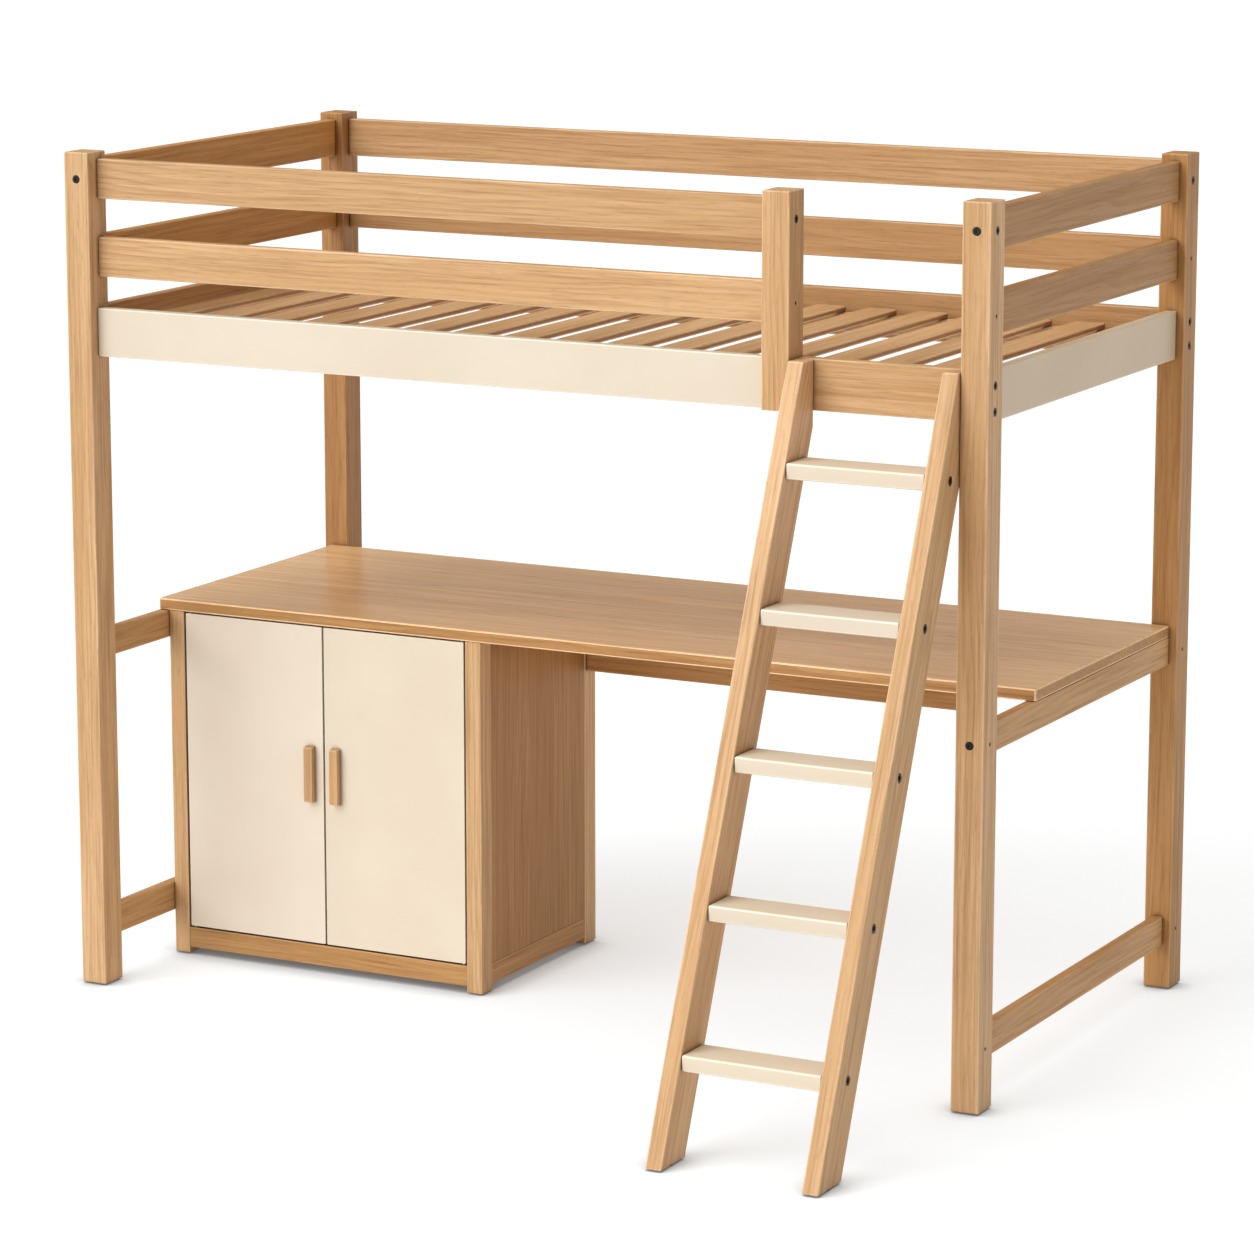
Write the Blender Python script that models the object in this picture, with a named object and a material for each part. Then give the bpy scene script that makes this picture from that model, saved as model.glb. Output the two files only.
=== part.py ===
"""Loft bed with a desk and a two-door cabinet under it, and a slanted ladder.

Every timber is its own object.  Lengths are in metres and +Z is up.  The plan is
laid out in bed coordinates: x runs from the left end, y runs from the front faces
of the front posts, and z runs from the floor.  PLAN_SHIFT moves that plan so that
the world origin lies on the floor, in the middle of the whole object's footprint.
"""
import math

import bmesh
import bpy
from mathutils import Matrix, Vector

# ---- driving dimensions ------------------------------------------------------
GAP = 0.0003                # clearance left between touching pieces
EASE = 0.002                # chamfer along the edges of the timbers
EASE_SMALL = 0.001          # same, on doors, panels and small pieces
EASE_HANDLE = 0.004
EASE_ANGLE = math.radians(25)
ROUND_ANGLE = math.radians(50)
CUT_LEAD = 0.004            # a hole's cutter starts this far outside the face

LENGTH = 1.990              # over the posts, left to right
DEPTH = 1.040               # over the posts, front to back
HEIGHT = 1.700              # post height
POST_X = 0.056
POST_Y = 0.064
END_INSET = 0.0168          # end rails sit this far inside the post faces
END_THICK = 0.0224

GUARD_HEIGHT = 0.079
GUARD_THICK = 0.022
GUARD_UPPER_Z = 1.607       # lower edge of the upper guard rails
GUARD_LOWER_Z = 1.452
GUARD_FRONT_Y = 0.031       # front face of the front guard rails
GUARD_BACK_Y = 0.025        # same, measured from the back posts' front faces

BED_RAIL_Z = 1.293
BED_RAIL_HEIGHT = 0.097
BED_RAIL_THICK = 0.024
BED_RAIL_FRONT_Y = 0.024
BED_RAIL_BACK_Y = 0.0154
GATE_RAIL_Y = 0.040         # front face of the rail behind the ladder

GATE_X = 1.534              # left face of the short post beside the ladder

SLAT_COUNT = 17
SLAT_WIDTH = 0.066
SLAT_THICK = 0.012
SLAT_DROP = 0.033           # slat tops lie this far under the bed rails' tops
SLAT_FIRST_X = 0.052
SLAT_END_GAP = 0.002        # play at each end of a slat
STRAP_WIDTH = 0.025
STRAP_THICK = 0.002
STRAP_INSET = 0.037         # strap's middle from the slats' ends
STRAP_END = 0.005           # from the outer slats' outer edges
LEDGE_WIDTH = 0.022
LEDGE_HEIGHT = 0.038

DESK_TOP_Z = 0.755
DESK_THICK = 0.024
DESK_FRONT_Y = 0.285
DESK_RAIL_HEIGHT = 0.057
APRON_Y = 0.737
APRON_THICK = 0.022
APRON_DROP = 0.141          # apron's lower edge under the desktop
APRON_SHOULDER = 1.615      # the lower edge rises from here to the end rail's height
APRON_SLOPE_X = 0.075

STRETCHER_Z = 0.092
STRETCHER_HEIGHT = 0.061

CABINET_LEFT = 0.0395
CABINET_RIGHT = 0.775
CABINET_FRONT = 0.288
CABINET_BACK = 0.779
CABINET_POST_X = 0.035
CABINET_POST_FRONT = 0.044
CABINET_POST_BACK = 0.048
CABINET_BASE_Z = 0.016
CABINET_BASE_TOP = 0.059
BASE_THICK = 0.020
PANEL_THICK = 0.016
PANEL_RECESS = 0.001
BACK_PANEL_THICK = 0.009
BACK_PANEL_INSET = 0.004
SHELF_TOP_Z = 0.400
SHELF_THICK = 0.018
SHELF_PLAY = 0.001
BATTEN = 0.016
TOP_RAIL_HEIGHT = 0.040

DOOR_THICK = 0.018
DOOR_INSET = 0.001          # door faces behind the cabinet posts' faces
DOOR_SIDE_GAP = 0.004
DOOR_MIDDLE_GAP = 0.004
DOOR_END_GAP = 0.0035       # above and below the doors
DOOR_BACK_GAP = 0.0028      # room for the doors' back corners as they swing
PIVOT_INSET = 0.007         # pivot axis from the door's front face and outer edge
PIVOT_RADIUS = 0.0025
PIVOT_DEPTH = 0.014         # length of pin held in the door
PIVOT_REACH = 0.008         # length of pin standing in the cabinet or desktop
PIVOT_PLAY = 0.0005

CATCH_SIZE = (0.030, 0.018, 0.012)
CATCH_EDGE = 0.010          # catch to the door's free edge

HANDLE_WIDTH = 0.020
HANDLE_DEPTH = 0.016
HANDLE_Z = 0.360
HANDLE_HEIGHT = 0.120
HANDLE_EDGE = 0.018         # from the door's free edge

LADDER_FOOT_Y = -0.575      # front of the ladder's feet
LADDER_TOP_Y = -0.006       # front of the ladder's top ends
LADDER_TOP_Z = 1.389
STILE_THICK = 0.033
STILE_DEPTH = 0.097         # measured level, front to back
RUNG_COUNT = 5
RUNG_FIRST_Z = 0.198        # top of the lowest rung
RUNG_PITCH = 0.2535
RUNG_THICK = 0.030

BOLT_RADIUS = 0.0070        # recess for a bolt head
BOLT_RADIUS_SMALL = 0.0032
BOLT_RADIUS_LADDER = 0.0085
BOLT_DEPTH = 0.007
BOLT_SIDES = 10
BED_BOLT_SPREAD = 0.024     # the bed rails' two bolts, above and below middle

OAK_COLOUR = (0.60, 0.36, 0.17)
CREAM_COLOUR = (0.82, 0.72, 0.58)
STEEL_COLOUR = (0.45, 0.45, 0.46)
PLASTIC_COLOUR = (0.75, 0.74, 0.71)
OAK_ROUGHNESS = 0.45
CREAM_ROUGHNESS = 0.40
STEEL_ROUGHNESS = 0.30
PLASTIC_ROUGHNESS = 0.50

# ---- worked-out sizes --------------------------------------------------------
PLAN_SHIFT = Vector((-LENGTH / 2, -(LADDER_FOOT_Y + DEPTH) / 2, 0))
BACK_POST_Y = DEPTH - POST_Y
RIGHT_POST_X = LENGTH - POST_X
GATE_RIGHT_X = GATE_X + POST_X
DESK_UNDER_Z = DESK_TOP_Z - DESK_THICK
SLAT_TOP_Z = BED_RAIL_Z + BED_RAIL_HEIGHT - SLAT_DROP
LADDER_SLOPE = (LADDER_TOP_Y - LADDER_FOOT_Y) / LADDER_TOP_Z
DOOR_LOW_Z = CABINET_BASE_TOP + DOOR_END_GAP
DOOR_HIGH_Z = DESK_UNDER_Z - DOOR_END_GAP
DOOR_FRONT_Y = CABINET_FRONT + DOOR_INSET
STOP_Y = DOOR_FRONT_Y + DOOR_THICK + DOOR_BACK_GAP


# ---- materials ---------------------------------------------------------------
def make_material(name, colour, roughness, metallic=0.0):
    material = bpy.data.materials.new(name)
    material.use_nodes = True
    shader = material.node_tree.nodes["Principled BSDF"]
    shader.inputs["Base Color"].default_value = (*colour, 1.0)
    shader.inputs["Roughness"].default_value = roughness
    shader.inputs["Metallic"].default_value = metallic
    material.diffuse_color = (*colour, 1.0)
    return material


# ---- modelling helpers -------------------------------------------------------
def clear_scene():
    for thing in list(bpy.data.objects):
        bpy.data.objects.remove(thing, do_unlink=True)


def add_object(name, mesh, plan_point, material=None, parent=None):
    thing = bpy.data.objects.new(name, mesh)
    bpy.context.scene.collection.objects.link(thing)
    thing.location = Vector(plan_point) + PLAN_SHIFT
    if parent is not None:
        thing.parent = parent
        thing.location -= parent.location
    if material is not None:
        mesh.materials.append(material)
    return thing


def mesh_from(shape, name):
    """A mesh of what a bmesh holds, which is then freed."""
    mesh = bpy.data.meshes.new(name)
    shape.to_mesh(mesh)
    shape.free()
    return mesh


def box_mesh(name, size):
    shape = bmesh.new()
    bmesh.ops.create_cube(shape, size=1.0)
    bmesh.ops.scale(shape, vec=size, verts=shape.verts)
    return mesh_from(shape, name)


def extrude_face(shape, face, way):
    """Turn one flat face into a closed prism."""
    grown = bmesh.ops.extrude_face_region(shape, geom=[face])["geom"]
    moved = [part for part in grown if isinstance(part, bmesh.types.BMVert)]
    bmesh.ops.translate(shape, verts=moved, vec=way)
    bmesh.ops.recalc_face_normals(shape, faces=shape.faces)


def ease_edges(thing, width=EASE):
    bevel = thing.modifiers.new("eased_edges", "BEVEL")
    bevel.width = width
    bevel.segments = 1
    bevel.limit_method = "ANGLE"
    bevel.angle_limit = EASE_ANGLE


def timber(name, x_span, y_span, z_span, material, parent=None, ease=EASE):
    """A sawn timber that fills the given spans of the plan."""
    spans = (x_span, y_span, z_span)
    size = [high - low for low, high in spans]
    middle = [(high + low) / 2 for low, high in spans]
    thing = add_object(name, box_mesh(name, size), middle, material, parent)
    ease_edges(thing, ease)
    return thing


def between(low, high):
    """A span that stops short of both neighbours by the touching gap."""
    return (low + GAP, high - GAP)


def end_spans():
    """x spans of the rails at the left and right ends."""
    right = LENGTH - END_INSET
    return (
        ("left", (END_INSET, END_INSET + END_THICK)),
        ("right", (right - END_THICK, right)),
    )


def cylinder_into(shape, radius, sides, start, direction, length):
    """Add a closed cylinder that runs from a point along a direction."""
    direction = Vector(direction).normalized()
    turn = direction.to_track_quat("Z", "Y").to_matrix().to_4x4()
    middle = Vector(start) + direction * (length / 2)
    bmesh.ops.create_cone(shape, cap_ends=True, segments=sides, radius1=radius,
                          radius2=radius, depth=length,
                          matrix=Matrix.Translation(middle) @ turn)


def cut_holes(thing, holes):
    """Cut round holes in an object: each is radius, plan point, direction, depth."""
    shape = bmesh.new()
    for radius, point, direction, depth in holes:
        along = Vector(direction)
        start = Vector(point) + PLAN_SHIFT - along * CUT_LEAD
        cylinder_into(shape, radius, BOLT_SIDES, start, along, depth + CUT_LEAD)
    name = thing.name + "_cutter"
    cutter = bpy.data.objects.new(name, mesh_from(shape, name))
    bpy.context.scene.collection.objects.link(cutter)
    cutter.display_type = "WIRE"
    cutter.hide_render = True
    cut = thing.modifiers.new("holes", "BOOLEAN")
    cut.operation = "DIFFERENCE"
    cut.solver = "EXACT"
    cut.object = cutter


# ---- the bed frame -----------------------------------------------------------
def bolt_heights():
    """Heights of the bolts in a tall post's outer side, with each recess's radius."""
    bed_middle = BED_RAIL_Z + BED_RAIL_HEIGHT / 2
    return {
        "guard_upper": (GUARD_UPPER_Z + GUARD_HEIGHT / 2, BOLT_RADIUS),
        "guard_lower": (GUARD_LOWER_Z + GUARD_HEIGHT / 2, BOLT_RADIUS_SMALL),
        "bed_high": (bed_middle + BED_BOLT_SPREAD, BOLT_RADIUS),
        "bed_low": (bed_middle - BED_BOLT_SPREAD, BOLT_RADIUS),
        "desk": (DESK_UNDER_Z - DESK_RAIL_HEIGHT / 2, BOLT_RADIUS_SMALL),
        "stretcher": (STRETCHER_Z + STRETCHER_HEIGHT / 2, BOLT_RADIUS_SMALL),
    }


def make_posts(oak):
    heights = bolt_heights()
    left_rows = ("guard_upper",)
    right_rows = ("guard_upper", "desk")
    corners = (
        ("post_front_left", 0, 0, -1, -1, left_rows),
        ("post_front_right", RIGHT_POST_X, 0, 1, -1, right_rows),
        ("post_back_left", 0, BACK_POST_Y, -1, 1, left_rows),
        ("post_back_right", RIGHT_POST_X, BACK_POST_Y, 1, 1, right_rows),
    )
    for name, x, y, x_out, y_out, end_rows in corners:
        post = timber(name, (x, x + POST_X), (y, y + POST_Y), (0, HEIGHT), oak)
        middle_x = x + POST_X / 2
        middle_y = y + POST_Y / 2
        holes = []
        for z, radius in heights.values():
            side_face = (middle_x + x_out * POST_X / 2, middle_y, z)
            holes.append((radius, side_face, (-x_out, 0, 0), BOLT_DEPTH))
        for row in end_rows:
            end_face = (middle_x, middle_y + y_out * POST_Y / 2, heights[row][0])
            holes.append((BOLT_RADIUS, end_face, (0, -y_out, 0), BOLT_DEPTH))
        cut_holes(post, holes)

    gate = timber("post_gate", (GATE_X, GATE_RIGHT_X), (0, POST_Y),
                  (BED_RAIL_Z, HEIGHT), oak)
    holes = []
    for row in ("guard_upper", "guard_lower"):
        z, radius = heights[row]
        face = (GATE_RIGHT_X, POST_Y / 2, z)
        holes.append((radius, face, (-1, 0, 0), BOLT_DEPTH))
    cut_holes(gate, holes)


def make_guards(oak):
    rows = (("upper", GUARD_UPPER_Z), ("lower", GUARD_LOWER_Z))
    long_back = between(POST_X, RIGHT_POST_X)
    for row, low_z in rows:
        z_span = (low_z, low_z + GUARD_HEIGHT)
        front_y = (GUARD_FRONT_Y, GUARD_FRONT_Y + GUARD_THICK)
        timber("guard_front_" + row, between(POST_X, GATE_X), front_y, z_span, oak)
        back_low = BACK_POST_Y + GUARD_BACK_Y
        back_y = (back_low, back_low + GUARD_THICK)
        timber("guard_back_" + row, long_back, back_y, z_span, oak)
        for side, x_span in end_spans():
            timber("guard_" + side + "_" + row, x_span,
                   between(POST_Y, BACK_POST_Y), z_span, oak)


def make_bed_rails(oak, cream):
    z_span = (BED_RAIL_Z, BED_RAIL_Z + BED_RAIL_HEIGHT)
    timber("bed_rail_front", between(POST_X, GATE_X),
           (BED_RAIL_FRONT_Y, BED_RAIL_FRONT_Y + BED_RAIL_THICK), z_span, cream)
    timber("bed_rail_gate", between(GATE_RIGHT_X, RIGHT_POST_X),
           (GATE_RAIL_Y, GATE_RAIL_Y + BED_RAIL_THICK), z_span, oak)
    back_low = BACK_POST_Y + BED_RAIL_BACK_Y
    timber("bed_rail_back", between(POST_X, RIGHT_POST_X),
           (back_low, back_low + BED_RAIL_THICK), z_span, oak)
    y_span = between(POST_Y, BACK_POST_Y)
    paints = {"left": oak, "right": cream}
    for side, x_span in end_spans():
        timber("bed_rail_" + side, x_span, y_span, z_span, paints[side])


def slat_span():
    """Front and back ends of the slats and of what carries them."""
    front = POST_Y + GAP
    back = BACK_POST_Y - GAP
    return front, back


def make_slat_ledges(oak):
    """Two ledges that run between the end rails and carry the slats' ends."""
    high_z = SLAT_TOP_Z - SLAT_THICK - GAP
    z_span = (high_z - LEDGE_HEIGHT, high_z)
    inner_x = END_INSET + END_THICK
    x_span = between(inner_x, LENGTH - inner_x)
    front, back = slat_span()
    timber("slat_ledge_front", x_span, (front, front + LEDGE_WIDTH), z_span, oak)
    timber("slat_ledge_back", x_span, (back - LEDGE_WIDTH, back), z_span, oak)


def make_slat_base(oak):
    """All the slats, held at their spacing by two webbing straps under them."""
    front, back = slat_span()
    last_x = LENGTH - SLAT_FIRST_X - SLAT_WIDTH
    pitch = (last_x - SLAT_FIRST_X) / (SLAT_COUNT - 1)
    middle_y = (front + back) / 2
    slat_z = SLAT_TOP_Z - SLAT_THICK / 2
    origin = Vector((LENGTH / 2, middle_y, slat_z))
    slat_length = back - front - 2 * SLAT_END_GAP

    slats = bmesh.new()
    for index in range(SLAT_COUNT):
        middle_x = SLAT_FIRST_X + index * pitch + SLAT_WIDTH / 2
        place = Matrix.Translation(Vector((middle_x, middle_y, slat_z)) - origin)
        stretch = Matrix.Diagonal((SLAT_WIDTH, slat_length, SLAT_THICK, 1))
        bmesh.ops.create_cube(slats, size=1.0, matrix=place @ stretch)
    base = add_object("slat_base", mesh_from(slats, "slat_base"), origin, oak)

    straps = bmesh.new()
    strap_length = LENGTH - 2 * (SLAT_FIRST_X + STRAP_END)
    strap_z = -SLAT_THICK / 2
    for strap_y in (front + STRAP_INSET, back - STRAP_INSET):
        place = Matrix.Translation(Vector((0, strap_y - middle_y, strap_z)))
        stretch = Matrix.Diagonal((strap_length, STRAP_WIDTH, STRAP_THICK, 1))
        bmesh.ops.create_cube(straps, size=1.0, matrix=place @ stretch)
    strap_object = add_object("slat_straps", mesh_from(straps, "slat_straps"), origin)
    strap_object.display_type = "WIRE"
    strap_object.hide_render = True
    union = base.modifiers.new("straps", "BOOLEAN")
    union.operation = "UNION"
    union.solver = "EXACT"
    union.object = strap_object


# ---- the desk ----------------------------------------------------------------
def make_desk(oak):
    """Desktop, the rails that carry its ends, the stretchers and the rear apron."""
    desktop = timber("desktop", (END_INSET, LENGTH - END_INSET),
                     (DESK_FRONT_Y, BACK_POST_Y - GAP), (DESK_UNDER_Z, DESK_TOP_Z), oak)
    holes = []
    for x in door_pivots():
        point = (x, pivot_y(), DESK_UNDER_Z)
        radius = PIVOT_RADIUS + PIVOT_PLAY
        holes.append((radius, point, (0, 0, 1), PIVOT_REACH + PIVOT_PLAY))
    cut_holes(desktop, holes)

    y_span = between(POST_Y, BACK_POST_Y)
    rail_high = DESK_UNDER_Z - GAP
    for side, x_span in end_spans():
        timber("desk_rail_" + side, x_span, y_span,
               (DESK_UNDER_Z - DESK_RAIL_HEIGHT, rail_high), oak)
        timber("stretcher_" + side, x_span, y_span,
               (STRETCHER_Z, STRETCHER_Z + STRETCHER_HEIGHT), oak)
    make_apron(oak)


def make_apron(oak):
    """The deep rear apron, with its right end cut shallower to meet the end rail."""
    left, right = between(CABINET_RIGHT, LENGTH - END_INSET - END_THICK)
    high = DESK_UNDER_Z - GAP
    low = DESK_UNDER_Z - APRON_DROP
    end_low = DESK_UNDER_Z - DESK_RAIL_HEIGHT
    outline = (
        (left, low),
        (APRON_SHOULDER, low),
        (APRON_SHOULDER + APRON_SLOPE_X, end_low),
        (right, end_low),
        (right, high),
        (left, high),
    )
    shape = bmesh.new()
    face = shape.faces.new([shape.verts.new((x - left, 0, z - high)) for x, z in outline])
    extrude_face(shape, face, (0, APRON_THICK, 0))
    apron = add_object("desk_apron", mesh_from(shape, "desk_apron"), (left, APRON_Y, high),
                       oak)
    ease_edges(apron)


# ---- the ladder --------------------------------------------------------------
def ladder_front(z):
    return LADDER_FOOT_Y + LADDER_SLOPE * z


def make_stile(name, low_x, outward, oak):
    """A leaning stile, cut level at both ends and upright against the gate rail."""
    wall_y = GATE_RAIL_Y - GAP
    wall_z = (wall_y - STILE_DEPTH - LADDER_FOOT_Y) / LADDER_SLOPE
    outline = (
        (LADDER_FOOT_Y, 0),
        (LADDER_FOOT_Y + STILE_DEPTH, 0),
        (wall_y, wall_z),
        (wall_y, LADDER_TOP_Z),
        (LADDER_TOP_Y, LADDER_TOP_Z),
    )
    shape = bmesh.new()
    side = []
    for y, z in outline:
        side.append(shape.verts.new((-STILE_THICK / 2, y - LADDER_FOOT_Y, z)))
    extrude_face(shape, shape.faces.new(side), (STILE_THICK, 0, 0))
    middle_x = low_x + STILE_THICK / 2
    stile = add_object(name, mesh_from(shape, name), (middle_x, LADDER_FOOT_Y, 0), oak)
    ease_edges(stile)

    holes = []
    for index in range(RUNG_COUNT):
        z = RUNG_FIRST_Z + index * RUNG_PITCH - RUNG_THICK / 2
        face_x = middle_x + outward * STILE_THICK / 2
        y = ladder_front(z) + STILE_DEPTH / 2
        point = (face_x, y, z)
        holes.append((BOLT_RADIUS_LADDER, point, (-outward, 0, 0), BOLT_DEPTH))
    cut_holes(stile, holes)


def make_ladder(oak, cream):
    left_x = GATE_RIGHT_X + GAP
    right_x = RIGHT_POST_X - GAP - STILE_THICK
    make_stile("ladder_stile_left", left_x, -1, oak)
    make_stile("ladder_stile_right", right_x, 1, oak)
    for index in range(RUNG_COUNT):
        high_z = RUNG_FIRST_Z + index * RUNG_PITCH
        low_z = high_z - RUNG_THICK
        y_span = (ladder_front(high_z), ladder_front(low_z) + STILE_DEPTH)
        timber("ladder_rung_" + str(index + 1), between(left_x + STILE_THICK, right_x),
               y_span, (low_z, high_z), cream)


# ---- the cabinet -------------------------------------------------------------
def door_pivots():
    """x of the left and right doors' pivot axes."""
    left = CABINET_LEFT + CABINET_POST_X + DOOR_SIDE_GAP + PIVOT_INSET
    right = CABINET_RIGHT - CABINET_POST_X - DOOR_SIDE_GAP - PIVOT_INSET
    return left, right


def pivot_y():
    return DOOR_FRONT_Y + PIVOT_INSET


def make_cabinet(oak):
    high_z = DESK_UNDER_Z - GAP
    front_y = (CABINET_FRONT, CABINET_FRONT + CABINET_POST_FRONT)
    back_y = (CABINET_BACK - CABINET_POST_BACK, CABINET_BACK)
    base_z = (CABINET_BASE_Z, CABINET_BASE_TOP)
    panel_z = (CABINET_BASE_TOP + GAP, high_z)
    side_y = between(front_y[1], back_y[0])
    sides = (
        ("left", CABINET_LEFT, CABINET_LEFT + PANEL_RECESS),
        ("right", CABINET_RIGHT - CABINET_POST_X,
         CABINET_RIGHT - PANEL_RECESS - PANEL_THICK),
    )
    for side, post_x, panel_x in sides:
        post_span = (post_x, post_x + CABINET_POST_X)
        panel_span = (panel_x, panel_x + PANEL_THICK)
        timber("cabinet_post_front_" + side, post_span, front_y, (0, high_z), oak)
        timber("cabinet_post_back_" + side, post_span, back_y, (0, high_z), oak)
        timber("cabinet_side_" + side, panel_span, side_y, panel_z, oak, ease=EASE_SMALL)
        timber("cabinet_base_" + side, panel_span, side_y, base_z, oak)

    inner_x = between(CABINET_LEFT + CABINET_POST_X, CABINET_RIGHT - CABINET_POST_X)
    base_front = timber("cabinet_base_front", inner_x,
                        (DOOR_FRONT_Y, DOOR_FRONT_Y + BASE_THICK), base_z, oak)
    holes = []
    for x in door_pivots():
        point = (x, pivot_y(), CABINET_BASE_TOP)
        radius = PIVOT_RADIUS + PIVOT_PLAY
        holes.append((radius, point, (0, 0, -1), PIVOT_REACH + PIVOT_PLAY))
    cut_holes(base_front, holes)
    timber("cabinet_base_back", inner_x, (CABINET_BACK - BASE_THICK, CABINET_BACK),
           base_z, oak)

    panel_back = CABINET_BACK - BACK_PANEL_INSET
    timber("cabinet_back_panel", inner_x, (panel_back - BACK_PANEL_THICK, panel_back),
           panel_z, oak, ease=EASE_SMALL)
    timber("cabinet_top_rail", inner_x, (STOP_Y, STOP_Y + BASE_THICK),
           (high_z - TOP_RAIL_HEIGHT, high_z), oak)

    wall_left = CABINET_LEFT + PANEL_RECESS + PANEL_THICK
    wall_right = CABINET_RIGHT - PANEL_RECESS - PANEL_THICK
    floor_y = between(DOOR_FRONT_Y + BASE_THICK, CABINET_BACK - BASE_THICK)
    timber("cabinet_bottom", inner_x, floor_y,
           (CABINET_BASE_TOP - PANEL_THICK, CABINET_BASE_TOP), oak, ease=EASE_SMALL)

    shelf_y = (front_y[1] + SHELF_PLAY, back_y[0] - SHELF_PLAY)
    timber("cabinet_shelf", (wall_left + SHELF_PLAY, wall_right - SHELF_PLAY), shelf_y,
           (SHELF_TOP_Z - SHELF_THICK, SHELF_TOP_Z), oak, ease=EASE_SMALL)
    batten_z = (SHELF_TOP_Z - SHELF_THICK - GAP - BATTEN, SHELF_TOP_Z - SHELF_THICK - GAP)
    timber("shelf_batten_left", (wall_left + GAP, wall_left + GAP + BATTEN),
           shelf_y, batten_z, oak)
    timber("shelf_batten_right", (wall_right - GAP - BATTEN, wall_right - GAP),
           shelf_y, batten_z, oak)


def door_width():
    opening = CABINET_RIGHT - CABINET_LEFT - 2 * (CABINET_POST_X + DOOR_SIDE_GAP)
    return (opening - DOOR_MIDDLE_GAP) / 2


def make_catches(plastic):
    """A magnetic catch under the top rail for each door, which it closes against."""
    long_x, long_y, high = CATCH_SIZE
    back = DOOR_FRONT_Y + DOOR_THICK + GAP
    top = DESK_UNDER_Z - GAP - TOP_RAIL_HEIGHT - GAP
    middle = (CABINET_LEFT + CABINET_RIGHT) / 2
    inner = DOOR_MIDDLE_GAP / 2 + CATCH_EDGE
    spans = (
        ("left", (middle - inner - long_x, middle - inner)),
        ("right", (middle + inner, middle + inner + long_x)),
    )
    for side, x_span in spans:
        timber("door_catch_" + side, x_span, (back, back + long_y), (top - high, top),
               plastic, ease=EASE_SMALL)


def make_door(side, axis_x, outward, cream, oak, steel):
    """A door that hangs on two concealed pins, with its parent empty on the axis."""
    hinge = bpy.data.objects.new("door_" + side + "_hinge", None)
    bpy.context.scene.collection.objects.link(hinge)
    hinge.location = Vector((axis_x, pivot_y(), DOOR_LOW_Z)) + PLAN_SHIFT

    outer_edge = axis_x + outward * PIVOT_INSET
    free_edge = outer_edge - outward * door_width()
    x_span = (min(outer_edge, free_edge), max(outer_edge, free_edge))
    y_span = (DOOR_FRONT_Y, DOOR_FRONT_Y + DOOR_THICK)
    door = timber("door_" + side, x_span, y_span, (DOOR_LOW_Z, DOOR_HIGH_Z), cream,
                  hinge, ease=EASE_SMALL)
    bore = PIVOT_RADIUS + GAP
    cut_holes(door, (
        (bore, (axis_x, pivot_y(), DOOR_HIGH_Z), (0, 0, -1), PIVOT_DEPTH + GAP),
        (bore, (axis_x, pivot_y(), DOOR_LOW_Z), (0, 0, 1), PIVOT_DEPTH + GAP),
    ))

    ends = (("top", DOOR_HIGH_Z, DESK_UNDER_Z, 1), ("bottom", DOOR_LOW_Z, CABINET_BASE_TOP, -1))
    for end, door_z, seat_z, up in ends:
        inner_z = door_z - up * PIVOT_DEPTH
        outer_z = seat_z + up * PIVOT_REACH
        length = abs(outer_z - inner_z)
        shape = bmesh.new()
        cylinder_into(shape, PIVOT_RADIUS, BOLT_SIDES, (0, 0, -length / 2), (0, 0, 1),
                      length)
        name = "door_" + side + "_pivot_" + end
        mesh = mesh_from(shape, name)
        mesh.shade_smooth()
        mesh.set_sharp_from_angle(angle=ROUND_ANGLE)
        middle = (axis_x, pivot_y(), (inner_z + outer_z) / 2)
        add_object(name, mesh, middle, steel, hinge)

    near = free_edge + outward * HANDLE_EDGE
    far = near + outward * HANDLE_WIDTH
    timber("door_" + side + "_handle", (min(near, far), max(near, far)),
           (DOOR_FRONT_Y - GAP - HANDLE_DEPTH, DOOR_FRONT_Y - GAP),
           (HANDLE_Z, HANDLE_Z + HANDLE_HEIGHT), oak, hinge, ease=EASE_HANDLE)


def main():
    clear_scene()
    oak = make_material("light_oak", OAK_COLOUR, OAK_ROUGHNESS)
    cream = make_material("cream_paint", CREAM_COLOUR, CREAM_ROUGHNESS)
    steel = make_material("pivot_steel", STEEL_COLOUR, STEEL_ROUGHNESS, metallic=1.0)
    plastic = make_material("catch_plastic", PLASTIC_COLOUR, PLASTIC_ROUGHNESS)
    make_posts(oak)
    make_guards(oak)
    make_bed_rails(oak, cream)
    make_slat_ledges(oak)
    make_slat_base(oak)
    make_desk(oak)
    make_ladder(oak, cream)
    make_cabinet(oak)
    make_catches(plastic)
    left_axis, right_axis = door_pivots()
    make_door("left", left_axis, -1, cream, oak, steel)
    make_door("right", right_axis, 1, cream, oak, steel)


main()
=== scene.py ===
"""The finished look of the loft bed with a desk: oiled oak, cream paint and black bolts.

Every timber is rebuilt with rounded edges inside its CAD node's box, with its local
x axis along its grain, so that one oak shader follows every board.
"""
import math
import random

import bmesh
import bpy
from mathutils import Euler, Matrix, Vector


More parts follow.
